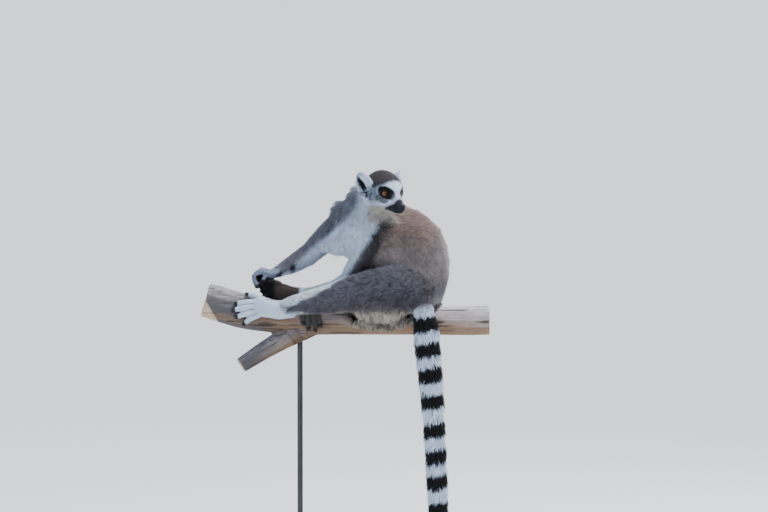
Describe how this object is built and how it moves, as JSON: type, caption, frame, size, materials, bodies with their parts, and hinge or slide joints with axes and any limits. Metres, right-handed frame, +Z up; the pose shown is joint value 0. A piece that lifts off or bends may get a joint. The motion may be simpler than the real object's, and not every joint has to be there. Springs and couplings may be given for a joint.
{
  "type": "ring-tailed lemur",
  "caption": "Life-size ring-tailed lemur seated along a cut branch with its banded tail hanging down, held up by a plain display stand.",
  "frame": {"origin": "centre of the underside of the stand's base", "axes": "+Z up; the branch lies along X and the animal's legs point towards -X; -Y is the side that its chest and left leg face"},
  "size_m": [0.5221, 0.27, 0.8996],
  "materials": {
    "back_fur": "brown-grey fur of the back, flanks and rump",
    "limb_fur": "grey fur of the arms, thighs and shins",
    "pale_fur": "white fur of the neck, ears, hands and feet",
    "head_fur": "short fur of the face and crown",
    "tail_fur": "long fur in black and white rings",
    "eye": "amber, wet and clear",
    "nose": "black, moist",
    "bark": "weathered, barkless and smooth",
    "base": "satin black lacquer",
    "rod": "satin black"
  },
  "bodies": {
    "root": {"chest": "back_fur", "ear_left": "pale_fur", "ear_right": "pale_fur", "eye_left": "eye", "eye_right": "eye", "foot_left": "pale_fur", "foot_right": "pale_fur", "forearm_left": "limb_fur", "forearm_right": "limb_fur", "hand_left": "pale_fur", "hand_right": "pale_fur", "head": "head_fur", "neck": "pale_fur", "nose": "nose", "perch": "bark", "rump": "back_fur", "shin_left": "limb_fur", "shin_right": "limb_fur", "stand_base": "base", "stand_rod_left": "rod", "stand_rod_right": "rod", "tail_1": "tail_fur", "tail_2": "tail_fur", "tail_3": "tail_fur", "tail_4": "tail_fur", "tail_5": "tail_fur", "tail_6": "tail_fur", "thigh_left": "limb_fur", "thigh_right": "limb_fur", "upper_arm_left": "limb_fur", "upper_arm_right": "limb_fur"}
  },
  "joints": []
}
